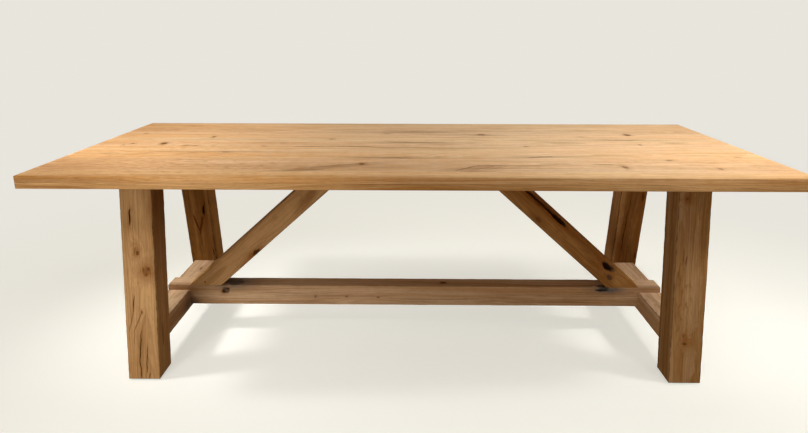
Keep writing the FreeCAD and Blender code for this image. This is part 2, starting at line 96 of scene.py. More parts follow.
def noise(tree, vector, stretch, detail=2.0, rough=0.5, output="Fac"):
    scaled = vectorCalc(tree, "MULTIPLY", vector, stretch)
    inputs = {"Vector": scaled, "Scale": 1.0, "Detail": detail, "Roughness": rough}
    return addNode(tree, "TexNoise", inputs).outputs[output]


def bumpFrom(tree, height, strength, distance):
    return addNode(tree, "Bump", {"Height": height, "Strength": strength, "Distance": distance}).outputs[0]


def newGroup(name, inputs, outputs):
    # the labels of the sockets are listed by their kind
    tree = bpy.data.node_groups.new(name, "ShaderNodeTree")
    for way, sockets in (("INPUT", inputs), ("OUTPUT", outputs)):
        for kind, labels in sockets.items():
            for label in labels:
                tree.interface.new_socket(name=label, in_out=way, socket_type="NodeSocket" + kind)
    given = tree.nodes.new("NodeGroupInput").outputs
    result = tree.nodes.new("NodeGroupOutput").inputs
    return tree, given, result


def placeGroup(tree, group, inputs):
    return addNode(tree, "Group", inputs, node_tree=group).outputs


def newMaterial(name):
    material = bpy.data.materials.new(name)
    material.use_nodes = True
    tree = material.node_tree
    spot = addNode(tree, "TexCoord").outputs["Object"]
    return material, tree, tree.nodes["Principled BSDF"].inputs, spot


# how the grain is drawn, and what is laid over the wood in turn: where, how strongly and in which tone
grain = {
    "bend": 0.09,
    "ripple": 0.006,
    "rough": 0.52,
    "markRim": (1.15, 0.75),
    "markFalloff": -0.35,
    "markDeep": 0.012,
    "knotDeep": 0.02,
    "knotRim": 1.7,
    "knotSwirl": 1.6,
    "layers": (
        ("late", 0.28, "Dark"),
        ("fibre", 0.5, "Dark"),
        ("thread", 0.45, "Dark"),
        ("cloud", 0.3, "Dark"),
        ("dash", 1, "Dark"),
        ("fleck", 0.6, "Light"),
        ("pore", 0.4, (116, 70, 32)),
        # darker streaks of the grain, and painted shade on sides and ends that are meant to get less light
        ("Streak", 1, (122, 76, 32)),
        ("Halo", 0.66, (130, 72, 20)),
        ("Line", 1, "Line tone"),
        ("Smudge", 1, (94, 88, 82)),
        ("Stain", 1, (46, 43, 42)),
        ("Knot", 1, "Knot tone"),
        # painted shade inside carved cuts and holes
        ("Check", 1, (40, 23, 10)),
    ),
}

# what the marks of a timber add up to
markTotals = ("Swirl", "Knot", "Halo", "Check", "Line", "Streak", "Stain", "Smudge", "Pale")


def buildMarkGroup():
    # one mark on a side: an ellipse with ragged edges, inside it and softly around it
    inputs = {"Vector": ("Vector", "Centre", "Radii"), "Float": ("Slope", "Wander", "Grit", "Ragged")}
    tree, given, result = newGroup("oakMark", inputs, {"Float": ("Inside", "Around")})
    offset = vectorCalc(tree, "SUBTRACT", given["Vector"], given["Centre"])
    parts = addNode(tree, "SeparateXYZ", {0: offset}).outputs
    radii = addNode(tree, "SeparateXYZ", {0: given["Radii"]}).outputs
    lean = times(tree, parts["X"], given["Slope"])
    wander = times(tree, given["Wander"], radii["Y"])
    across = calc(tree, "ADD", calc(tree, "SUBTRACT", parts["Y"], lean), wander)
    straight = addNode(tree, "CombineXYZ", {0: parts["X"], 1: across, 2: parts["Z"]}).outputs[0]
    reach = vectorCalc(tree, "LENGTH", vectorCalc(tree, "DIVIDE", straight, given["Radii"]))
    reach = calc(tree, "ADD", reach, times(tree, given["Grit"], given["Ragged"]))
    tree.links.new(slide(tree, reach, *grain["markRim"]), result["Inside"])
    fall = times(tree, times(tree, reach, reach), grain["markFalloff"])
    tree.links.new(calc(tree, "EXPONENT", fall), result["Around"])
    return tree


def buildOakGroup():
    # rings, fibres and pores of oak, with the marks laid over them
    inputs = {
        "Vector": ("Vector", "Pith"),
        "Float": ("Seed", "Ring step", "Band", "Dash", *markTotals),
        "Color": ("Light", "Body", "Dark", "Knot tone", "Line tone"),
    }
    outputs = {"Color": ("Color",), "Float": ("Roughness", "Height")}
    tree, given, result = newGroup("oiledOak", inputs, outputs)

    shift = addNode(tree, "VectorMath", {0: (0.37, 0.53, 0.71), "Scale": given["Seed"]}, operation="SCALE")
    seeded = vectorCalc(tree, "ADD", given["Vector"], shift.outputs["Vector"])
    bent = given["Vector"]
    for stretch, reach in (((0.9, 5, 5), grain["bend"]), ((6, 34, 34), grain["ripple"])):
        push = vectorCalc(tree, "SUBTRACT", noise(tree, seeded, stretch, output="Color"), (0.5, 0.5, 0.5))
        bent = vectorCalc(tree, "ADD", bent, vectorCalc(tree, "MULTIPLY", push, (0, reach, reach)))
    radial = vectorCalc(tree, "MULTIPLY", vectorCalc(tree, "SUBTRACT", bent, given["Pith"]), (0, 1, 1))
    radius = calc(tree, "ADD", vectorCalc(tree, "LENGTH", radial), given["Swirl"])
    turns = calc(tree, "DIVIDE", radius, given["Ring step"])
    years = addNode(tree, "TexNoise", {"W": turns, "Scale": 0.35, "Detail": 1.0}, noise_dimensions="1D")
    saw = calc(tree, "FRACT", calc(tree, "ADD", turns, times(tree, years.outputs["Fac"], 1.6)))
    late = times(tree, slide(tree, saw, 0.35, 0.9), slide(tree, saw, 1.0, 0.93))
    early = slide(tree, saw, 0.4, 0.0)
    broad = addNode(tree, "TexNoise", {"W": turns, "Scale": 0.21, "Detail": 2.0}, noise_dimensions="1D")

    fibre = noise(tree, seeded, (7, 300, 300), 4, 0.65)
    thread = slide(tree, noise(tree, seeded, (1.7, 85, 85), 3, 0.6), 0.55, 0.68)
    pore = slide(tree, noise(tree, seeded, (45, 1100, 1100), 1), 0.58, 0.72)
    pore = times(tree, pore, calc(tree, "MULTIPLY_ADD", early, 0.7, 0.3))
    ticks = noise(tree, seeded, (30, 95, 95), 3)
    dash = times(tree, slide(tree, ticks, 0.54, 0.66), given["Dash"])
    fleck = times(tree, slide(tree, ticks, 0.45, 0.37), given["Dash"])
    cloud = noise(tree, seeded, (3, 16, 16), 3)

    band = times(tree, slide(tree, broad.outputs["Fac"], 0.32, 0.68), given["Band"])
    color = blend(tree, band, given["Body"], given["Light"])
    # lighter streaks of the wood, and painted light where a side or patch is shown more lit
    color = blend(tree, given["Pale"], color, given["Light"])
    shown = {
        "late": late, "fibre": slide(tree, fibre, 0.42, 0.8), "thread": thread,
        "cloud": slide(tree, cloud, 0.5, 0.75), "dash": dash, "fleck": fleck, "pore": pore,
    }
    for part, strength, tone in grain["layers"]:
        mask = times(tree, shown[part] if part in shown else given[part], strength)
        color = blend(tree, mask, color, given[tone] if isinstance(tone, str) else screenColor(*tone))
    tree.links.new(color, result["Color"])

    rough = calc(tree, "MULTIPLY_ADD", fibre, 0.2, grain["rough"])
    rough = calc(tree, "ADD", rough, times(tree, given["Check"], 0.25))
    tree.links.new(calc(tree, "ADD", rough, times(tree, pore, 0.12)), result["Roughness"])
    height = calc(tree, "SUBTRACT", times(tree, fibre, 0.5), times(tree, pore, 0.5))
    height = calc(tree, "SUBTRACT", height, times(tree, given["Line"], 0.4))
    tree.links.new(calc(tree, "SUBTRACT", height, times(tree, late, 0.12)), result["Height"])
    return tree


oakMark = buildMarkGroup()
oiledOak = buildOakGroup()

# what every oak piece shares, unless the piece or one of its woods says otherwise
oakLook = {
    # painted shade in a cut: how far below a side it starts and where it is full, in millimetres
    "hollow": (1.0, 2.6),
    "sheen": 0,
    "band": 0.75,
    "dash": 0.12,
    "knotTone": (66, 33, 9),
    "lineTone": (92, 48, 16),
    "hollowDark": 0.9,
    # how far the edges of a mark stray, in long waves and in fine grit
    "wander": 1.6,
    "grit": 0.9,
    "bump": 0.5,
    "bumpDepth": 0.6,
}

# the light, the body and the dark of the wood, as a screen shows them
oakTones = {
    "honey": ((245, 213, 170), (228, 167, 96), (170, 112, 56)),
    "pinkish": ((243, 210, 169), (223, 164, 99), (164, 110, 60)),
    "amber": ((247, 211, 161), (229, 167, 93), (169, 110, 53)),
    "edge": ((232, 186, 128), (185, 132, 71), (130, 84, 37)),
    "frame": ((208, 166, 114), (184, 138, 86), (124, 80, 38)),
    "peach": ((230, 197, 158), (188, 143, 94), (146, 100, 56)),
    # brown, umber, dusky and deep are darker partly as painted shade, for pieces that stand where less
    # light falls
    "brown": ((187, 148, 105), (149, 105, 52), (98, 62, 24)),
    "umber": ((192, 142, 84), (146, 96, 46), (90, 52, 18)),
    "dusky": ((214, 160, 100), (126, 83, 39), (78, 45, 15)),
    "deep": ((208, 154, 88), (118, 76, 32), (68, 40, 12)),
}

# how a side of a timber is turned to lie flat, and on which side of the middle it is
sideTurn = Matrix.Rotation(math.radians(90), 4, "X")
sides = {
    "upper": (Matrix.Identity(4), 1), "lower": (Matrix.Identity(4), -1),
    "plusSide": (sideTurn, -1), "minusSide": (sideTurn, 1),
}


def sideLevel(side, size):
    turn, sign = sides[side]
    return sign * size[1 if turn is sideTurn else 2] / 2


# which total of the oak a mark without a heart goes to, and which part of the mark it shows
plainMarks = {
    "checks": ("Halo", "Around"), "lines": ("Line", "Inside"), "streaks": ("Streak", "Around"),
    "stains": ("Stain", "Inside"), "smudges": ("Smudge", "Around"), "pale": ("Pale", "Inside"),
    # the soft pale patches are mostly painted light
    "bleached": ("Pale", "Around"), "dashes": ("Dash", "Around"),
}


def addMarks(tree, vector, marks, level, totals, wander, grit):
    # the marks of one side, added to the running totals that the oak group takes
    def place(along, across, halfLong, halfWide, deep, slope=0.0, ragged=1.0):
        spot = {
            "Vector": vector, "Centre": (along * mm, across * mm, level), "Slope": slope,
            "Radii": (halfLong * mm, halfWide * mm, deep), "Wander": wander, "Grit": grit, "Ragged": ragged,
        }
        return placeGroup(tree, oakMark, spot)

    def raiseTotal(total, shown, weight):
        totals[total] = calc(tree, "MAXIMUM", totals[total], times(tree, shown, weight))

    # holes are filled with the painted shade of a cut
    for kind, total in (("knots", "Knot"), ("holes", "Check"), ("burls", "Halo")):
        for along, across, halfLong, halfWide, weight in marks.get(kind, []):
            found = place(along, across, halfLong, halfWide, grain["knotDeep"], ragged=grain["knotRim"])
            push = times(tree, found["Around"], halfWide * mm * grain["knotSwirl"])
            totals["Swirl"] = calc(tree, "ADD", totals["Swirl"], push)
            raiseTotal(total, found["Inside"], weight)
            raiseTotal("Halo", found["Around"], weight)
    for kind, (total, part) in plainMarks.items():
        for along, across, halfLong, halfWide, slope, weight in marks.get(kind, []):
            found = place(along, across, halfLong, halfWide, grain["markDeep"], slope)
            raiseTotal(total, found[part], weight)


def newWood(tone, seed, pith, ringStep, **more):
    # pith: the middle of the rings, from the timber's own; it and the ring step are in millimetres
    return {"tone": tone, "seed": seed, "pith": pith, "ringStep": ringStep, **more}


def oakMaterial(name, piece, wood, place, size, faces):
    look = {**oakLook, **piece, **wood}
    material, tree, surface, spot = newMaterial(name + "Oak")
    mapping = {"Vector": spot, "Location": place.to_translation(), "Rotation": place.to_euler()}
    local = addNode(tree, "Mapping", mapping, vector_type="TEXTURE").outputs[0]
    parts = addNode(tree, "SeparateXYZ", {0: local}).outputs
    turned = addNode(tree, "CombineXYZ", {0: parts["X"], 1: parts["Z"]})
    tree.links.new(times(tree, parts["Y"], -1), turned.inputs[2])
    totals = {**dict.fromkeys(markTotals, 0.0), "Dash": look["dash"]}
    wander = noise(tree, local, (22, 4, 4))
    wander = calc(tree, "MULTIPLY_ADD", wander, look["wander"], -look["wander"] / 2)
    grit = noise(tree, local, (70, 260, 260), 3, 0.6)
    grit = calc(tree, "MULTIPLY_ADD", grit, look["grit"], -look["grit"] / 2)
    for side, marks in faces.items():
        vector = turned.outputs[0] if sides[side][0] is sideTurn else local
        addMarks(tree, vector, marks, sideLevel(side, size), totals, wander, grit)
    # painted shade: the wood is darkened where a cut goes below its sides, as shade would fall in it
    half = [part / 2 for part in size]
    inset = vectorCalc(tree, "SUBTRACT", half, vectorCalc(tree, "ABSOLUTE", local))
    inset = addNode(tree, "SeparateXYZ", {0: inset}).outputs
    inset = calc(tree, "MINIMUM", inset["X"], calc(tree, "MINIMUM", inset["Y"], inset["Z"]))
    hollow = slide(tree, inset, *(edge * mm for edge in look["hollow"]))
    hollow = times(tree, hollow, look["hollowDark"])
    totals["Check"] = calc(tree, "MAXIMUM", totals["Check"], hollow)
    light, body, dark = (screenColor(*shade) for shade in oakTones[look["tone"]])
    inputs = {
        "Vector": local, "Seed": look["seed"], "Pith": (0, *(part * mm for part in look["pith"])),
        "Ring step": look["ringStep"] * mm, "Band": look["band"],
        "Light": light, "Body": body, "Dark": dark,
        "Knot tone": screenColor(*look["knotTone"]), "Line tone": screenColor(*look["lineTone"]), **totals,
    }
    oak = placeGroup(tree, oiledOak, inputs)
    bump = bumpFrom(tree, oak["Height"], look["bump"], look["bumpDepth"] * mm)
    fill(tree, surface, {
        "Base Color": oak["Color"], "Roughness": oak["Roughness"], "Normal": bump,
        "Specular IOR Level": look["sheen"],
    })
    return material


def newTexture(name, size):
    texture = bpy.data.textures.new(name, "CLOUDS")
    texture.noise_scale = size
    return texture


swellTexture = newTexture("woodSwell", 0.14)
wearTexture = newTexture("arrisWear", 0.022)
raggedTexture = newTexture("raggedCut", 0.016)
wanderTexture = newTexture("wanderingCheck", 0.03)


def pickNone():
    bpy.ops.object.select_all(action="DESELECT")


def enter(mode):
    bpy.ops.object.mode_set(mode=mode)


def pickOnly(thing):
    pickNone()
    thing.select_set(True)
    bpy.context.view_layer.objects.active = thing


def pick(kind, thing, wanted):
    # in edit mode, selects the points (VERT) or edges (EDGE) whose ends pass the test
    bpy.ops.mesh.select_mode(type=kind)
    bpy.ops.mesh.select_all(action="DESELECT")
    shape = bmesh.from_edit_mesh(thing.data)
    for part in shape.edges if kind == "EDGE" else shape.verts:
        ends = part.verts if kind == "EDGE" else (part,)
        part.select_set(bool(wanted(*(end.co for end in ends))))
    bmesh.update_edit_mesh(thing.data)


def applyModifier(thing, kind, **settings):
    pickOnly(thing)
    modifier = thing.modifiers.new(kind.lower(), kind)
    for setting, value in settings.items():
        setattr(modifier, setting, value)
    bpy.ops.object.modifier_apply(modifier=modifier.name)


def setDown(thing, place):
    # moves a finished local shape to its place in the table and leaves the object at the origin
    thing.matrix_world = place
    pickOnly(thing)
    bpy.ops.object.transform_apply()


def addBlock(name, size):
    pickNone()
    bpy.ops.mesh.primitive_cube_add(size=1)
    block = bpy.context.object
    block.name = name
    block.scale = size
    bpy.ops.object.transform_apply(location=False, rotation=False, scale=True)
    return block


def newTimber(name, size, step, arrises):
    # a squared timber along X, gridded so that it can wear, with its long arrises eased
    timber = addBlock(name, size)
    enter("EDIT")
    for axis in range(3):
        pick("EDGE", timber, lambda a, b: abs((a - b).normalized()[axis]) > 0.9)
        bpy.ops.mesh.subdivide(number_cuts=max(1, round(size[axis] / (step[axis] * mm)) - 1))
    slack = 1e-5
    halfY, halfZ = size[1] / 2 - slack, size[2] / 2 - slack
    for (sideY, sideZ), ease in arrises.items():
        pick("EDGE", timber, lambda a, b: all(p.y * sideY > halfY and p.z * sideZ > halfZ for p in (a, b)))
        bpy.ops.mesh.bevel(offset=ease * mm, segments=2, affect="EDGES")
    timber.vertex_groups.new(name="arris")
    reach = 1.5 * max(arrises.values()) * mm
    pick("VERT", timber, lambda p: abs(p.y) > halfY - reach and abs(p.z) > halfZ - reach)
    bpy.ops.object.vertex_group_assign()
    enter("OBJECT")
    return timber


def trim(timber, point, outward):
    # saws everything off past a plane
    pickOnly(timber)
    enter("EDIT")
    bpy.ops.mesh.select_all(action="SELECT")
    bpy.ops.mesh.bisect(plane_co=point, plane_no=outward, use_fill=True, clear_outer=True)
    enter("OBJECT")


def wear(timber, swell, arrisLoss):
    # lets the sides in a little unevenly, and the arrises more
    applyModifier(timber, "DISPLACE", texture=swellTexture, strength=swell * mm, mid_level=1.0)
    applyModifier(
        timber, "DISPLACE", texture=wearTexture, strength=arrisLoss * mm, mid_level=1.0,
        vertex_group="arris")


def cut(timber, cutter):
    applyModifier(timber, "BOOLEAN", operation="DIFFERENCE", solver="EXACT", object=cutter)
    bpy.data.objects.remove(cutter)


def cutBlock(timber, low, high):
    low, high = Vector(low), Vector(high)
    block = addBlock("recess", high - low)
    setDown(block, Matrix.Translation((low + high) / 2))
    cut(timber, block)


cutting = {
    "boreFacets": 48,
    "checkFacets": 56,
    "knotFacets": 24,
    "checkWander": 0.014,  # metres, from one side of its line to the other
    "checkFloor": 0.35,  # how wide its floor is, to its rim
    "knotRagged": 0.7,
    "inMark": 0.8,  # how large a cut is, to the mark drawn round it
    "weakest": 0.7,  # weaker knots and holes are only drawn
    # how deep the cuts are, in millimetres, unless a piece says otherwise
    "depths": {"knots": 1.4, "holes": 7, "checks": 4},
}


def cutBore(timber, centre, diameter, low, high):
    pickNone()
    bpy.ops.mesh.primitive_cylinder_add(
        vertices=cutting["boreFacets"], radius=diameter / 2, depth=high - low)
    bore = bpy.context.object
    setDown(bore, Matrix.Translation((centre.x, centre.y, (low + high) / 2)))
    cut(timber, bore)


def checkCutter(along, across, level, halfLong, halfWide, slope, depth):
    # a long lens that wanders a little and closes up towards its bottom
    pickNone()
    bpy.ops.mesh.primitive_circle_add(vertices=cutting["checkFacets"], radius=1, fill_type="NGON")
    cutter = bpy.context.object
    cutter.scale = (halfLong, halfWide, 1)
    bpy.ops.object.transform_apply(location=False, rotation=False, scale=True)
    inward = -1 if level > 0 else 1
    start = Vector((along, across, level - inward * mm))
    setDown(cutter, Matrix.Translation(start) @ Matrix.Rotation(math.atan(slope), 4, "Z"))
    applyModifier(
        cutter, "DISPLACE", texture=wanderTexture, texture_coords="LOCAL", direction="Y",
        strength=cutting["checkWander"], mid_level=0.5)
    enter("EDIT")
    bpy.ops.mesh.select_all(action="SELECT")
    bpy.ops.mesh.extrude_region_move(TRANSFORM_OT_translate={"value": (0, 0, inward * (depth + mm))})
    bpy.ops.transform.resize(value=(1, cutting["checkFloor"], 1), center_override=start)
    bpy.ops.mesh.select_all(action="SELECT")
    bpy.ops.mesh.normals_make_consistent(inside=False)
    enter("OBJECT")
    return cutter


def knotCutter(along, across, level, halfLong, halfWide, depth):
    # a bowl with an uneven rim
    pickNone()
    facets = cutting["knotFacets"]
    bpy.ops.mesh.primitive_uv_sphere_add(segments=facets, ring_count=facets // 2, radius=halfWide)
    cutter = bpy.context.object
    place = Matrix.Translation((along, across, level))
    cutter.matrix_world = place
    applyModifier(
        cutter, "DISPLACE", texture=raggedTexture, texture_coords="GLOBAL",
        strength=cutting["knotRagged"] * halfWide, mid_level=0.5)
    setDown(cutter, place @ Matrix.Diagonal((halfLong / halfWide, 1, depth / halfWide, 1)))
    return cutter


def carve(timber, piece, place, size, faces):
    # hollows out the knots, holes and checks of every side
    depths = {**cutting["depths"], **piece.get("depths", {})}
    inMark = cutting["inMark"]
    for side, marks in faces.items():
        sidePlace = place @ sides[side][0]
        level = sideLevel(side, size)
        cutters = []
        for kind in ("knots", "holes"):
            for along, across, halfLong, halfWide, weight in marks.get(kind, []):
                if weight >= cutting["weakest"]:
                    bowl = (inMark * halfLong * mm, inMark * halfWide * mm, depths[kind] * mm)
                    cutters.append((knotCutter, along * mm, across * mm, level, *bowl))
        for along, across, halfLong, halfWide, slope, weight in marks.get("checks", []):
            lens = (halfLong * mm, inMark * halfWide * mm, slope, depths["checks"] * mm)
            cutters.append((checkCutter, along * mm, across * mm, level, *lens))
        for makeCutter, *shape in cutters:
            cutter = makeCutter(*shape)
            setDown(cutter, sidePlace)
            cut(timber, cutter)


def roughTimber(name, piece, place, size, arrises=None):
    # squares a timber up, sets it down in its place and wears it
    if arrises is None:
        arrises = {(y, z): piece["arris"] for y in (-1, 1) for z in (-1, 1)}
    timber = newTimber(name, size, piece["step"], arrises)
    setDown(timber, place)
    wear(timber, piece["swell"], piece["arrisLoss"])
    return timber


def finishTimber(timber, node, piece, wood, place, size, faces):
    carve(timber, piece, place, size, faces)
    pickOnly(timber)
    bpy.ops.object.shade_smooth_by_angle(angle=math.radians(smoothBelow))
    timber.data.materials.clear()
    timber.data.materials.append(oakMaterial(timber.name, piece, wood, place, size, faces))
    timber.vertex_groups.clear()
    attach(timber, "root")
    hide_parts(node)


def timberPlace(centre, along, facing):
    # local X runs along the timber and local Z out of its facing side
    along, facing = Vector(along).normalized(), Vector(facing).normalized()
    turn = Matrix((along, facing.cross(along), facing)).transposed().to_4x4()
    return Matrix.Translation(centre) @ turn


def pieceName(node):
    first, *rest = node.split("_")
    return first + "".join(word.capitalize() for word in rest)


top = {
    "outerArris": 0.9,
    "seamArris": 0.35,
    "step": (12, 9, 9),
    "swell": 0.3,
    "arrisLoss": 0.35,
    "depths": {"knots": 0.8, "checks": 2},
    "hollow": (0.5, 1.6),
    "sheen": 0.04,
    "markSpread": 1.5,  # how many half widths from its middle a soft mark reaches
    "knotTone": (114, 66, 6),
    "lineTone": (112, 66, 12),
    # in millimetres along and across from the middle of the top, half length, half width; strength
    "knots": [
        (-1112, 235, 6, 16, 0.35), (-807, 175, 7, 16, 0.6), (-325, 128, 11, 10, 0.4),
        (-500, 33, 11, 9, 0.3), (-952, 18, 12, 21, 1), (-1070, 12, 7, 10, 0.6), (-1095, -16, 7, 9, 0.35),
        (-855, -22, 11, 8, 0.45), (-817, -34, 10, 6, 0.45), (-750, -35, 8, 6, 0.35),
        (-562, -34, 12, 6, 0.5), (-672, -152, 13, 10, 0.5), (877, 243, 13, 22, 0.8),
        (277, 243, 17, 16, 0.65), (675, 198, 13, 9, 0.3), (855, 22, 6, 12, 0.5), (417, -25, 11, 9, 0.4),
        (1110, -226, 12, 8, 0.3), (855, -274, 12, 10, 0.5), (-171, -350, 10, 14, 0.85),
        (672, -392, 8, 18, 0.65), (967, -409, 7, 13, 0.5),
    ],
    # the same, with the slope before the strength
    "checks": [(-990, 479, 26, 1.6, 0, 1), (-300, -36, 150, 1.5, 0.004, 1), (832, 125, 82, 1.2, 0, 1)],
    "lines": [
        (-225, -34, 85, 6, 0.02, 0.8), (-380, -37, 80, 5, -0.03, 0.65), (150, -58, 280, 4, 0, 0.4),
        (560, -8, 150, 5, 0.14, 0.35), (4, 50, 102, 5, 0, 0.55), (555, 68, 95, 5, 0, 0.55),
        (600, 121, 60, 4, 0, 0.4), (817, 124, 90, 7, 0, 0.8), (1000, 66, 58, 6, 0, 0.75),
        (870, 70, 70, 4, 0, 0.45), (-60, -252, 60, 6, 0, 0.7), (-130, -250, 90, 5, 0, 0.45),
        (433, -228, 50, 7, 0.25, 0.65), (615, -346, 40, 5, 0, 0.6), (330, -370, 160, 4, 0.1, 0.4),
        (172, -405, 42, 5, 0.95, 0.75), (240, -373, 45, 5, 0.12, 0.65), (205, -458, 60, 5, 0.04, 0.55),
        (218, -415, 55, 4, 0.85, 0.4), (262, -408, 50, 4, 0.75, 0.35), (-275, -385, 95, 4, 0.42, 0.6),
        (-340, -447, 60, 5, 0.12, 0.5),
    ],
    "streaks": [
        (15, 305, 130, 15, 0.02, 0.5), (-112, 280, 15, 16, 0, 0.45), (-70, -242, 110, 12, 0, 0.35),
        (-285, -410, 110, 18, 0.42, 0.5), (-250, -395, 260, 26, 0, 0.2), (190, -415, 60, 18, 0.3, 0.45),
        (430, -226, 80, 10, 0.1, 0.35), (-700, 120, 180, 12, 0, 0.2), (-560, -150, 200, 14, 0, 0.2),
        (1000, 300, 140, 10, 0, 0.2), (500, 330, 220, 9, 0, 0.25), (260, 240, 60, 9, -0.1, 0.4),
        (-1140, -460, 110, 110, 0, 0.3), (4, 52, 110, 13, 0, 0.4), (330, -395, 60, 10, 0.4, 0.25),
        (850, 118, 220, 16, 0, 0.25), (-850, 110, 330, 26, 0, 0.14),
    ],
    # painted light: a pale sheen over the middle and right of the top and towards its front
    "bleached": [(360, 250, 640, 480, 0, 1), (580, -470, 400, 80, 0, 1), (430, -220, 200, 120, 0, 1)],
    "dashes": [
        (-820, -400, 430, 130, 0, 0.5), (-900, -110, 320, 110, 0, 0.4), (500, -430, 520, 70, 0, 0.25),
        (-900, 330, 260, 120, 0, 0.3), (950, -330, 240, 120, 0, 0.3),
    ],
    # the front board's face: painted shade in the middle and at the ends, painted light between
    "frontFace": {
        "streaks": [
            (170, 0, 360, 30, 0, 0.33), (-1160, 0, 180, 30, 0, 0.55), (1180, 0, 140, 30, 0, 0.3),
        ],
        "bleached": [(-640, 0, 130, 30, 0, 0.4), (720, 0, 170, 30, 0, 0.5)],
    },
    # from front to back
    "boards": [
        newWood("amber", 1.7, (60, -90), 5.5),
        newWood("pinkish", 3.1, (20, -60), 6.5),
        newWood("honey", 4.6, (-35, -75), 6.0),
        newWood("pinkish", 6.2, (30, -120), 5.0),
        newWood("honey", 7.9, (-20, -50), 6.5),
        newWood("pinkish", 9.3, (45, -70), 5.5),
        newWood("honey", 2.4, (-60, -85), 6.0),
    ],
}


def marksWithin(low, high):
    # the marks that lie on one board, measured from the board's own middle
    middle = (low.y + high.y) / 2 / mm
    found = {}
    for kind in ("knots", "checks", "lines", "streaks", "bleached", "dashes"):
        spread = 0 if kind in ("knots", "checks") else top["markSpread"] * mm
        mine = [mark for mark in top[kind] if low.y < mark[1] * mm + spread * mark[3]]
        mine = [mark for mark in mine if mark[1] * mm - spread * mark[3] < high.y]
        found[kind] = [(mark[0], mark[1] - middle, *mark[2:]) for mark in mine]
    return found


def buildTopBoards():
    nodes = sorted(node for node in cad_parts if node.startswith("top_board_"))
    for index, node in enumerate(nodes):
        low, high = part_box(node)
        size = tuple(high - low)
        place = Matrix.Translation((low + high) / 2)
        front = top["outerArris" if index == 0 else "seamArris"]
        back = top["outerArris" if node == nodes[-1] else "seamArris"]
        board = roughTimber(pieceName(node), top, place, size, {(-1, 1): front, (1, 1): back})
        faces = {"upper": marksWithin(low, high)}
        if index == 0:
            faces["minusSide"] = top["frontFace"]
        finishTimber(board, node, top, top["boards"][index], place, size, faces)
    print("top boards:", len(nodes))


buildTopBoards()

edging = {
    "step": (12, 8, 7),
    "arris": 1.2,
    "seamArris": 0.6,
    "swell": 0.3,
    "arrisLoss": 0.5,
    "hollow": (0.7, 1.6),
    "sheen": 0.04,
    # the front strip's outer side, with painted shade and painted light along its length
    "frontFace": {
        "streaks": [(300, 0, 220, 30, 0, 0.35), (1200, 0, 150, 30, 0, 0.15)],
        "bleached": [(-640, 0, 180, 30, 0, 0.4), (-1150, 0, 90, 30, 0, 0.4), (700, 0, 170, 30, 0, 1)],
    },
    "woods": {
        "edge_strip_front": newWood("edge", 2.2, (10, -60), 4.5),
        "edge_strip_back": newWood("edge", 5.2, (-20, -50), 4.5),
        "edge_strip_left": newWood("edge", 7.2, (15, -45), 4.5),
        "edge_strip_right": newWood("edge", 8.2, (25, -55), 4.5),
    },
}


def buildEdging():
    for node, wood in edging["woods"].items():
        low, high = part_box(node)
        middle = (low + high) / 2
        size = high - low
        along = (1, 0, 0) if size.x > size.y else (0, 1, 0)
        place = timberPlace(middle, along, (0, 0, 1))
        size = (max(size.x, size.y), min(size.x, size.y), size.z)
        outer = 1 if (place.inverted() @ Vector((0, 0, middle.z))).y < 0 else -1
        arris = edging["arris"]
        arrises = {(outer, -1): arris, (outer, 1): edging["seamArris"], (-outer, -1): arris}
        strip = roughTimber(pieceName(node), edging, place, size, arrises)
        faces = {"minusSide": edging["frontFace"]} if node == "edge_strip_front" else {}
        finishTimber(strip, node, edging, wood, place, size, faces)
    print("edge strips:", len(edging["woods"]))


buildEdging()

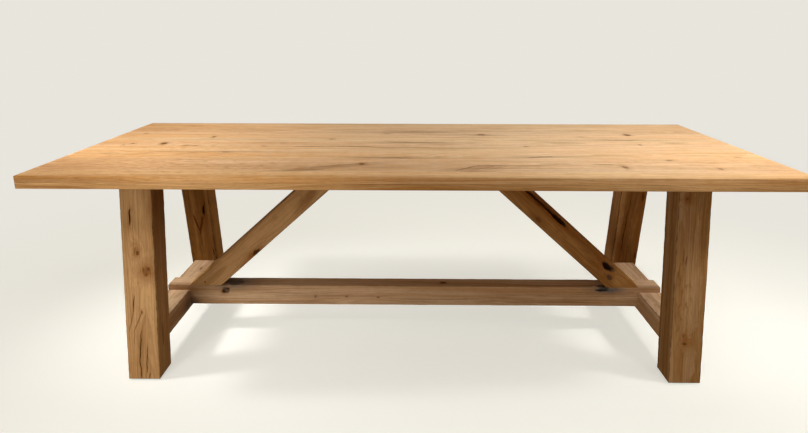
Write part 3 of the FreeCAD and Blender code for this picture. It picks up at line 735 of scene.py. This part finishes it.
legs = {
    "section": 112,
    "splay": 8.8,
    "spare": 60,
    "step": (8, 7, 7),
    "arris": 3,
    "soleArris": 3,
    "swell": 1.0,
    "arrisLoss": 2.2,
    "depths": {"checks": 5},
    "woods": {
        # the front right leg's brown and the back legs' deep and dusky tones are partly painted shade
        "leg_front_left": newWood("frame", 1.2, (20, -95), 5.5),
        "leg_front_right": newWood("brown", 5.4, (-30, -80), 5.0),
        "leg_back_left": newWood("deep", 3.3, (10, -70), 5.0, band=0.35),
        "leg_back_right": newWood("dusky", 8.1, (35, -90), 5.5, band=0.1),
    },
    # the lower side of a leg faces the front
    "faces": {
        "leg_front_left": {
            "lower": {
                "burls": [(94, -6, 19, 9, 0.8), (28, 24, 20, 18, 1)],
                "knots": [
                    (90, -3, 9, 6, 0.6), (35, 33, 8, 5, 0.6), (30, 16, 9, 4, 0.45), (15, 25, 8, 6, 0.4),
                    (26, 25, 14, 12, 0.25), (-116, 3, 6, 4, 0.5),
                ],
                "checks": [
                    (213, -23, 28, 4.0, 0.1, 1), (-88, -25, 32, 2.4, 0.12, 0.8),
                    (-220, -6, 42, 2.4, 0.16, 0.8), (-296, -10, 62, 2.6, -0.02, 0.8),
                    (-285, 13, 50, 1.8, 0.08, 0.8), (-345, 20, 14, 2.2, 0, 0.8),
                ],
                "lines": [
                    (-150, -12, 42, 2.5, 0.44, 0.55), (-150, -35, 42, 2, 0.26, 0.55),
                    (160, -14, 60, 2, 0, 0.3), (-200, -26, 34, 2, 0.1, 0.4), (96, -12, 14, 2, 0.2, 0.5),
                ],
                "streaks": [
                    (305, 25, 30, 6, 0, 0.35), (60, -40, 120, 6, 0, 0.25), (-250, 2, 90, 14, 0, 0.25),
                ],
                # painted light on the middle of the front face and at its top
                "bleached": [(-30, 0, 150, 60, 0, 1), (280, -10, 60, 40, 0, 0.8)],
            },
            "plusSide": {
                "lines": [(-206, -14, 44, 3.5, 0.05, 0.9)],
                # painted shade at the top of the inner side, under the tabletop
                "streaks": [(310, 0, 140, 60, 0, 0.75), (-40, 10, 300, 14, 0, 0.1)],
            },
        },
        "leg_front_right": {
            "lower": {
                "burls": [(282, -25, 12, 12, 0.6), (-200, -4, 20, 11, 0.6)],
                "knots": [(282, -27, 6, 5, 0.5), (-215, -8, 4, 8, 0.6), (-186, -14, 7, 4, 0.3)],
                "lines": [
                    (86, -28, 34, 2, 0.06, 0.5), (74, -18, 18, 3, 0.06, 0.6), (40, -40, 30, 2, 0.1, 0.4),
                ],
                "streaks": [
                    (-30, -34, 70, 7, 0, 0.35), (200, -25, 120, 7, 0, 0.4), (180, 30, 160, 5, 0, 0.4),
                    (-270, -20, 60, 8, 0, 0.4),
                ],
                "pale": [
                    (30, 10, 230, 9, 0.01, 0.6), (-60, 22, 130, 19, 0.03, 0.8),
                    (-285, 16, 60, 18, 0.05, 0.7), (-184, 6, 15, 7, 0, 0.7),
                ],
                # painted light on the middle of the front face
                "bleached": [(-20, 10, 150, 30, 0, 0.3)],
                "dashes": [(-70, -20, 80, 20, 0, 0.5)],
            },
        },
        "leg_back_left": {
            "lower": {
                "holes": [(79, 27, 25, 5, 1)],
                "knots": [(40, 18, 12, 8, 0.45)],
                "checks": [(104, 32, 28, 2.4, 0.16, 0.8), (-119, 46, 22, 2.0, 0, 0.6)],
                "lines": [(4, 8, 46, 5, 0.25, 1), (15, -9, 46, 4.5, -0.26, 1), (-60, 0, 40, 3, 0, 0.6)],
                "streaks": [
                    (40, 34, 190, 14, -0.08, 0.6), (0, -30, 200, 5, 0, 0.4), (30, 16, 40, 10, 0, 0.5),
                ],
            },
            # painted light over the whole inner side
            "plusSide": {"bleached": [(0, 0, 600, 60, 0, 1)]},
        },
        "leg_back_right": {
            "lower": {
                "checks": [(5, -17, 165, 2.6, 0.035, 1)],
                "knots": [(150, 38, 20, 5, 0.65), (-130, 44, 16, 4, 0.6)],
                "streaks": [(-8, 43, 200, 9, -0.05, 0.9), (-120, -38, 60, 4, 0, 0.7)],
            },
            # painted light over the whole left side
            "minusSide": {"bleached": [(0, 0, 600, 60, 0, 1)]},
        },
    },
}

splay = math.radians(legs["splay"])
# how far a leg reaches from back to front where it is cut level
legReach = legs["section"] * mm / math.cos(splay)


def buildLegs():
    section = legs["section"] * mm
    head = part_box("bearer_left")[0].z
    for node, wood in legs["woods"].items():
        low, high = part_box(node)
        front = -1 if "front" in node else 1
        sole = low.z
        footOuter = low.y if front < 0 else high.y
        footInner = footOuter - front * legReach
        centre = Vector(((low.x + high.x) / 2, 0, (sole + head) / 2))
        centre.y = footOuter - front * (legReach / 2 + (centre.z - sole) * math.tan(splay))
        along = (0, -front * math.sin(splay), math.cos(splay))
        place = timberPlace(centre, along, (0, math.cos(splay), front * math.sin(splay)))
        size = ((head - sole) / math.cos(splay) + legs["spare"] * mm, section, section)
        leg = roughTimber(pieceName(node), legs, place, size)
        trim(leg, (0, 0, head), (0, 0, 1))
        trim(leg, (0, 0, sole), (0, 0, -1))
        rise = sole + legs["soleArris"] * mm
        trim(leg, (low.x, 0, rise), (-1, 0, -1))
        trim(leg, (high.x, 0, rise), (1, 0, -1))
        trim(leg, (0, footOuter, rise), (0, front, -1))
        trim(leg, (0, footInner, rise), (0, -front, -1))
        finishTimber(leg, node, legs, wood, place, size, legs["faces"][node])
    print("legs:", len(legs["woods"]))


buildLegs()

hardware = {
    "counterbore": 26,
    "clearBelow": 60,
}


def findWashers():
    # the middle and the top of every coach washer, from a merged copy taken apart
    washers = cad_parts["coach_washers"].copy()
    washers.data = washers.data.copy()
    bpy.context.collection.objects.link(washers)
    pickOnly(washers)
    enter("EDIT")
    bpy.ops.mesh.select_all(action="SELECT")
    bpy.ops.mesh.remove_doubles(threshold=1e-6)
    bpy.ops.mesh.separate(type="LOOSE")
    enter("OBJECT")
    spots = []
    for washer in list(bpy.context.selected_objects):
        corners = [washer.matrix_world @ Vector(corner) for corner in washer.bound_box]
        middle = sum(corners, Vector()) / len(corners)
        spots.append(Vector((middle.x, middle.y, max(corner.z for corner in corners))))
        bpy.data.objects.remove(washer)
    return spots


washerSpots = findWashers()
print("coach washers found:", len(washerSpots))


def boreFor(timber, wanted):
    # opens the counterbores of the washers that this timber holds
    for spot in washerSpots:
        if wanted(spot):
            bottom = spot.z - hardware["clearBelow"] * mm
            cutBore(timber, spot, hardware["counterbore"] * mm, bottom, spot.z)


rails = {
    "section": (90, 74),
    "intoLeg": 2,
    "lapThickness": 47,
    "step": (8, 8, 8),
    "arris": 3,
    "swell": 0.9,
    "arrisLoss": 2.0,
    "woods": {
        "low_rail_left": newWood("peach", 4.4, (-20, -80), 5.5),
        "low_rail_right": newWood("peach", 6.6, (15, -75), 5.0),
    },
    "faces": {
        "low_rail_left": {
            # painted light over the whole top of each rail, painted shade over the left rail's inner side
            "upper": {"checks": [(197, -15, 16, 3.2, 0, 1)], "bleached": [(0, 0, 600, 60, 0, 0.85)]},
            "minusSide": {"smudges": [(-74, -16, 34, 22, 0, 0.7)], "streaks": [(0, 0, 400, 60, 0, 0.3)]},
        },
        "low_rail_right": {
            "upper": {"streaks": [(-190, 10, 60, 6, 0, 0.4)], "bleached": [(0, 0, 600, 60, 0, 0.85)]},
        },
    },
}


def railEnd(height, outward):
    # where the legs' inner faces stand at a height, from the front or the back leg
    node = "leg_front_left" if outward < 0 else "leg_back_left"
    low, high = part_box(node)
    footOuter = low.y if outward < 0 else high.y
    return footOuter - outward * (legReach + (height - low.z) * math.tan(splay))


def buildRails():
    width, depth = (part * mm for part in rails["section"])
    stretcherLow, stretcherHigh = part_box("stretcher")
    for node, wood in rails["woods"].items():
        low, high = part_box(node)
        place = timberPlace((low + high) / 2, (0, 1, 0), (0, 0, 1))
        size = (high.y - low.y, width, depth)
        rail = roughTimber(pieceName(node), rails, place, size)
        for outward in (-1, 1):
            end = railEnd(low.z, outward) + outward * rails["intoLeg"] * mm
            normal = (0, outward * math.cos(splay), math.sin(splay))
            trim(rail, (0, end, low.z), normal)
        bottom = stretcherHigh.z - rails["lapThickness"] * mm
        cutBlock(
            rail, (low.x - mm, stretcherLow.y, bottom), (high.x + mm, stretcherHigh.y, high.z + mm))
        boreFor(rail, lambda spot: low.x < spot.x < high.x and spot.z < high.z)
        finishTimber(rail, node, rails, wood, place, size, rails["faces"][node])
    print("low rails:", len(rails["woods"]))


buildRails()

stretcher = {
    "step": (10, 8, 8),
    "arris": 2.2,
    "swell": 0.9,
    "arrisLoss": 1.8,
    "wood": newWood("peach", 3.7, (-25, 70), 5.5),
    "faces": {
        # the upper side faces the front
        "upper": {
            "knots": [
                (-388, -6, 5, 4, 0.6), (-264, -5, 5, 3, 0.6), (-139, -8, 5, 3, 0.6),
                (-753, 14, 7, 8, 0.9),
            ],
            "holes": [(-736, 28, 7, 3, 0.65)],
            "lines": [
                (-500, 8, 120, 2, 0, 0.4), (120, -14, 160, 2, 0.01, 0.4), (420, 6, 120, 2, 0, 0.35),
            ],
            # painted shadow of the front legs on the laps' fronts, and painted shade over the right half
            "streaks": [
                (293, -22, 50, 5, 0, 0.5), (-935, 29, 55, 15, 0, 0.7), (500, 0, 450, 60, 0, 0.3),
                (935, 29, 55, 15, 0, 0.65),
            ],
            "stains": [(-742, 20, 15, 14, 0, 0.75), (742, 28, 26, 6, 0, 1)],
            "smudges": [(768, 30, 40, 10, 0, 1), (-892, -36, 22, 14, 0, 0.9)],
            # painted light on the left of the front
            "bleached": [(-480, 0, 160, 60, 0, 0.5)],
        },
        "plusSide": {
            "knots": [(119, 3, 14, 8, 0.8)],
            "stains": [(756, 30, 30, 16, 0, 0.8), (-712, 8, 40, 30, 0, 0.45)],
            "smudges": [(-715, 8, 56, 44, 0, 0.8)],
            # painted light on the laps' tops and the left of the top
            "bleached": [(-940, 0, 50, 80, 0, 1), (940, 0, 50, 80, 0, 1), (-420, 0, 200, 60, 0, 0.55)],
        },
    },
}


def buildStretcher():
    low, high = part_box("stretcher")
    place = timberPlace((low + high) / 2, (1, 0, 0), (0, -1, 0))
    size = (high.x - low.x, high.z - low.z, high.y - low.y)
    beam = roughTimber("stretcherBeam", stretcher, place, size)
    lap = high.z - rails["lapThickness"] * mm
    railLeft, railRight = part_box("low_rail_left"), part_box("low_rail_right")
    cutBlock(beam, (low.x - mm, low.y - mm, low.z - mm), (railLeft[1].x, high.y + mm, lap))
    cutBlock(beam, (railRight[0].x, low.y - mm, low.z - mm), (high.x + mm, high.y + mm, lap))
    boreFor(beam, lambda spot: railLeft[1].x < spot.x < railRight[0].x and spot.z < high.z)
    wood, faces = stretcher["wood"], stretcher["faces"]
    finishTimber(beam, "stretcher", stretcher, wood, place, size, faces)
    print("stretcher done")


buildStretcher()

braces = {
    "angle": 41.7,
    "section": (86, 85),
    "spare": 260,
    "step": (8, 8, 8),
    "arris": 2.2,
    "swell": 0.9,
    "arrisLoss": 1.8,
    "depths": {"holes": 9, "checks": 6},
    "woods": {
        "brace_left": newWood("frame", 7.7, (20, -80), 5.5),
        # the right brace's umber tone is partly painted shade
        "brace_right": newWood("umber", 9.9, (-15, -75), 5.0),
    },
    # the upper side faces the front
    "faces": {
        "brace_left": {
            "upper": {
                "burls": [(-142, -34, 26, 12, 0.9), (-190, -40, 24, 5, 0.8)],
                "knots": [(-124, -33, 19, 8, 0.85), (-365, 9, 4, 4, 0.6)],
                "streaks": [
                    (181, -10, 42, 14, 0.2, 0.7), (-60, 38, 240, 4, 0, 0.5), (120, 30, 160, 8, 0, 0.3),
                ],
                "pale": [(-142, 8, 50, 3, 0, 0.6)],
            },
        },
        "brace_right": {
            "upper": {
                "holes": [(262, 20, 24, 11, 1), (-12, 27, 46, 8, 1)],
                "checks": [(-112, 28, 100, 5, 0.02, 0.8)],
                "lines": [(-108, 30, 112, 10, 0.02, 0.85), (-70, -24, 14, 8, 0, 0.5)],
                "streaks": [
                    (304, -2, 14, 12, 0, 0.6), (-81, -26, 26, 11, 0, 0.6), (60, 26, 200, 12, 0, 0.5),
                    (-112, 29, 110, 9, 0.02, 0.9),
                ],
                "stains": [(268, 22, 32, 13, 0, 0.75), (304, -6, 14, 9, 0, 0.6)],
                "pale": [(65, -3, 165, 4, 0.015, 0.5), (140, 12, 130, 12, 0, 0.4)],
                "bleached": [(318, 18, 45, 20, 0, 0.9), (0, -30, 200, 14, 0, 0.4)],
            },
        },
    },
}


def buildBraces():
    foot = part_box("stretcher")[1].z
    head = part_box("batten_left")[0].z
    for node, wood in braces["woods"].items():
        low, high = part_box(node)
        toward = 1 if low.x < 0 else -1
        heel = low.x if toward > 0 else high.x
        depth, width = (part * mm for part in braces["section"])
        angle = math.radians(braces["angle"])
        run = (head - foot) / math.tan(angle)
        along = Vector((toward * math.cos(angle), 0, math.sin(angle)))
        middle = Vector((heel + toward * (run + depth / math.sin(angle)) / 2, 0, (foot + head) / 2))
        # both braces are set out from left to right
        place = timberPlace(middle, along * toward, (0, -1, 0))
        size = (run / math.cos(angle) + braces["spare"] * mm, depth, width)
        brace = roughTimber(pieceName(node), braces, place, size)
        trim(brace, (0, 0, head), (0, 0, 1))
        trim(brace, (0, 0, foot - mm), (0, 0, -1))
        boreFor(brace, lambda spot: low.x < spot.x < high.x and spot.z > foot)
        finishTimber(brace, node, braces, wood, place, size, braces["faces"][node])
    print("braces:", len(braces["woods"]))


buildBraces()

hiddenTimbers = {
    "hollow": (3, 6),
    "woods": {
        "bearer_left": newWood("frame", 2.9, (10, -60), 5.0),
        "bearer_right": newWood("frame", 4.9, (-15, -55), 5.0),
        "batten_left": newWood("frame", 6.9, (20, -70), 5.5),
        "batten_right": newWood("frame", 8.9, (-10, -65), 5.5),
    },
}


def dressNode(node, material):
    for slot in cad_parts[node].material_slots:
        slot.material = material


def dressHiddenTimbers():
    for node, wood in hiddenTimbers["woods"].items():
        low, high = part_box(node)
        place = timberPlace((low + high) / 2, (0, 1, 0), (0, 0, 1))
        size = (high.y - low.y, high.x - low.x, high.z - low.z)
        dressNode(node, oakMaterial(pieceName(node), hiddenTimbers, wood, place, size, {}))
    print("bearers and battens dressed")


dressHiddenTimbers()

# tones of the zinc (bright, dull), the felt (dark, light, worn) and the beech (light, dark, flecked)
finishes = {
    "zinc": ((196, 198, 200), (160, 160, 154)),
    "felt": ((84, 74, 62), (132, 120, 104), (70, 62, 52)),
    "beech": ((226, 186, 146), (198, 152, 112), (160, 110, 74)),
}


def zincMaterial():
    # bright zinc with a cloudy passivated bloom
    bright, dull = (screenColor(*shade) for shade in finishes["zinc"])
    material, tree, surface, spot = newMaterial("brightZinc")
    bloom = noise(tree, spot, (160, 160, 160), 4, 0.6)
    scratch = noise(tree, spot, (900, 900, 60), 2)
    color = blend(tree, slide(tree, bloom, 0.35, 0.7), bright, dull)
    rough = calc(tree, "MULTIPLY_ADD", scratch, 0.12, calc(tree, "MULTIPLY_ADD", bloom, 0.3, 0.18))
    bump = bumpFrom(tree, scratch, 0.15, 0.0002)
    fill(tree, surface, {"Base Color": color, "Roughness": rough, "Normal": bump, "Metallic": 1.0})
    return material


def feltMaterial():
    # grey brown pressed felt
    dark, light, worn = (screenColor(*shade) for shade in finishes["felt"])
    material, tree, surface, spot = newMaterial("pressedFelt")
    hair = noise(tree, spot, (1400, 1400, 1400), 4, 0.7)
    cloud = noise(tree, spot, (90, 90, 90), 3)
    color = blend(tree, slide(tree, hair, 0.35, 0.65), dark, light)
    color = blend(tree, times(tree, cloud, 0.4), color, worn)
    bump = bumpFrom(tree, hair, 0.8, 0.0008)
    fill(tree, surface, {
        "Base Color": color, "Roughness": 0.95, "Normal": bump, "Specular IOR Level": 0.2,
    })
    return material


def beechMaterial():
    # plain beech with its short flecks
    light, dark, flecked = (screenColor(*shade) for shade in finishes["beech"])
    material, tree, surface, spot = newMaterial("steamedBeech")
    fibre = noise(tree, spot, (8, 260, 260), 3)
    fleck = slide(tree, noise(tree, spot, (190, 900, 900), 1), 0.62, 0.7)
    color = blend(tree, fibre, light, dark)
    color = blend(tree, times(tree, fleck, 0.5), color, flecked)
    fill(tree, surface, {"Base Color": color, "Roughness": calc(tree, "MULTIPLY_ADD", fibre, 0.2, 0.5)})
    return material


zinc = zincMaterial()
felt = feltMaterial()
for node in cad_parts:
    if node.startswith("floor_glide"):
        dressNode(node, felt)
for node in ("top_screws", "coach_screws", "coach_washers"):
    dressNode(node, zinc)
dressNode("board_tongues", beechMaterial())
print("hardware, glides and tongues dressed")

stage = {
    "floorSize": 60,
    "floorColor": (204, 201, 194),
    "floorBounce": (136, 110, 76),
    "floorRoughness": 0.9,
    "nearGlow": (195, 196, 189),
    "backColor": (232, 229, 221),
    "fade": (1.4, 3.2),
    "worldColor": (255, 240, 222),
    "worldStrength": 0.34,
}

lamps = {
    # place, aim, size in metres, watts, spread in degrees
    "frontLeft": ((-1.5, -3.3, 0.8), (-0.4, 0, 0.3), 1.6, 38, 180),
    "endLeft": ((-3.3, -0.5, 3.2), (-0.86, 0, 0.4), 0.6, 2.9, 27),
    "endRight": ((3.3, -0.8, 3.2), (0.98, -0.1, 0.4), 0.6, 1.5, 28),
    "backLeft": ((-1.5, 2.0, 3.0), (-0.85, 0.7, 0.75), 0.6, 0.42, 24),
    "highLeft": ((-1.6, -2.8, 3.0), (-0.78, -0.4, 0.55), 0.6, 0.5, 24),
    "highRight": ((1.9, -2.4, 3.2), (1.0, -0.45, 0.6), 0.6, 0.42, 28),
    "overRight": ((1.3, -0.05, 1.9), (1.1, 0.1, 0.7), 0.9, 7.9, 180),
    "overMiddle": ((0.4, 0, 3.0), (0.35, -0.1, 0.7), 0.9, 4, 120),
    "fillRight": ((3.2, -0.6, 0.35), (0, 0, 0.3), 1.6, 22, 180),
}

viewpoint = {
    "location": (-0.00726, -2.45578, 1.18743),
    "down": 16.311,
    "turn": 0.727,
    "roll": -0.075,
    "lens": 29.299,
    "sensor": 36,
}


def seenRay(tree):
    # 1 where the camera looks, or a mirror or a glass shows it
    path = addNode(tree, "LightPath").outputs
    seen = calc(tree, "MAXIMUM", path["Is Camera Ray"], path["Is Glossy Ray"])
    return calc(tree, "MAXIMUM", seen, path["Is Transmission Ray"])


def buildStage():
    pickNone()
    bpy.ops.mesh.primitive_plane_add(size=stage["floorSize"])
    floor = bpy.context.object
    floor.name = "floor"
    material, tree, surface, spot = newMaterial("paleFloor")
    seen = seenRay(tree)
    # away from the table the floor runs into the backdrop without a line
    away = times(tree, slide(tree, vectorCalc(tree, "LENGTH", spot), *stage["fade"]), seen)
    near = blend(tree, seen, screenColor(*stage["floorBounce"]), screenColor(*stage["floorColor"]))
    glow = blend(tree, away, screenColor(*stage["nearGlow"]), screenColor(*stage["backColor"]))
    # from below the floor lets the table be seen
    under = addNode(tree, "NewGeometry").outputs["Backfacing"]
    black = (0, 0, 0, 1)
    fill(tree, surface, {
        "Base Color": blend(tree, away, near, black), "Emission Color": blend(tree, seen, black, glow),
        "Emission Strength": 1.0, "Alpha": calc(tree, "SUBTRACT", 1, under),
        "Roughness": stage["floorRoughness"], "Specular IOR Level": 0,
    })
    floor.data.materials.append(material)

    world = bpy.data.worlds.new("studio")
    bpy.context.scene.world = world
    world.use_nodes = True
    tree = world.node_tree
    seen = seenRay(tree)
    color = blend(tree, seen, screenColor(*stage["worldColor"]), screenColor(*stage["backColor"]))
    dim = stage["worldStrength"]
    strength = calc(tree, "MULTIPLY_ADD", seen, 1 - dim, dim)
    fill(tree, tree.nodes["Background"].inputs, {"Color": color, "Strength": strength})


def buildLamps():
    for name, (location, aim, size, watts, spread) in lamps.items():
        bpy.ops.object.light_add(type="AREA", location=location)
        lamp = bpy.context.object
        lamp.name = name
        lamp.data.shape = "DISK"
        lamp.data.size = size
        lamp.data.energy = watts
        lamp.data.spread = math.radians(spread)
        lamp.rotation_euler = (Vector(aim) - Vector(location)).to_track_quat("-Z", "Y").to_euler()
        lamp.visible_camera = False


def buildCamera():
    down, turn, roll = (math.radians(viewpoint[part]) for part in ("down", "turn", "roll"))
    bpy.ops.object.camera_add(
        location=viewpoint["location"], rotation=Euler((math.pi / 2 - down, roll, turn)))
    camera = bpy.context.object
    camera.data.lens = viewpoint["lens"]
    camera.data.sensor_width = viewpoint["sensor"]
    bpy.context.scene.camera = camera


buildStage()
buildLamps()
buildCamera()
bpy.context.scene.view_settings.view_transform = "Standard"
print("stage, lamps and camera set")
